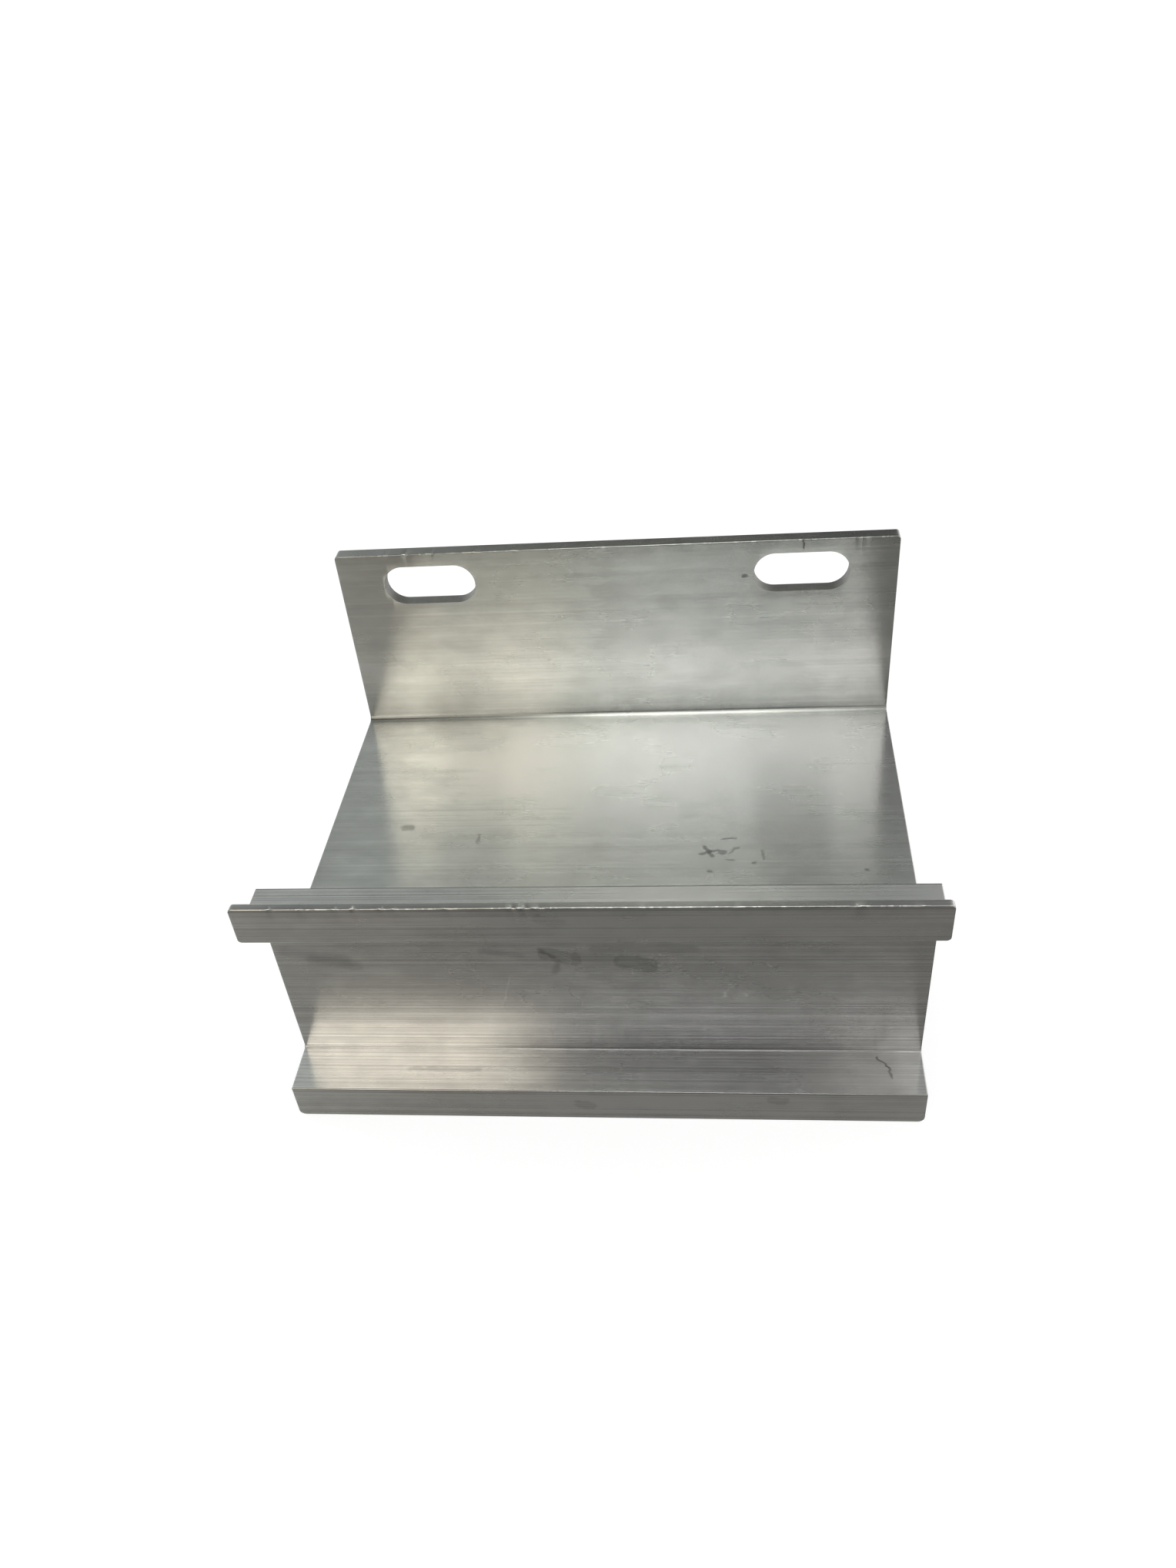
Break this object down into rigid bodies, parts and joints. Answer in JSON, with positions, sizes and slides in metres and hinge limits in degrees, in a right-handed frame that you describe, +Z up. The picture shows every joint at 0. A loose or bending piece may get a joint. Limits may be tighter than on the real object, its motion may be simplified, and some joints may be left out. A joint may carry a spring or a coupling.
{
  "type": "slotted extrusion bracket",
  "caption": "Length of aluminium extrusion used as a bracket: slotted wall flange, level plate and a forward-opening channel with out-turned lips.",
  "frame": {"origin": "on the back of the wall flange, midway between the two bolt slots and level with their centre line", "axes": "+X along the extrusion, +Y out of the flange's back into the wall, +Z up; the plate is level and the channel opens towards -Y"},
  "size_m": [0.15, 0.122, 0.0888],
  "materials": {
    "mill_aluminium": "mill-finish extrusion: fine die lines along its length, soft oxide blotches, a few stains, bright nicks on the free edges"
  },
  "bodies": {
    "root": {"bracket_extrusion": "mill_aluminium"}
  },
  "joints": []
}
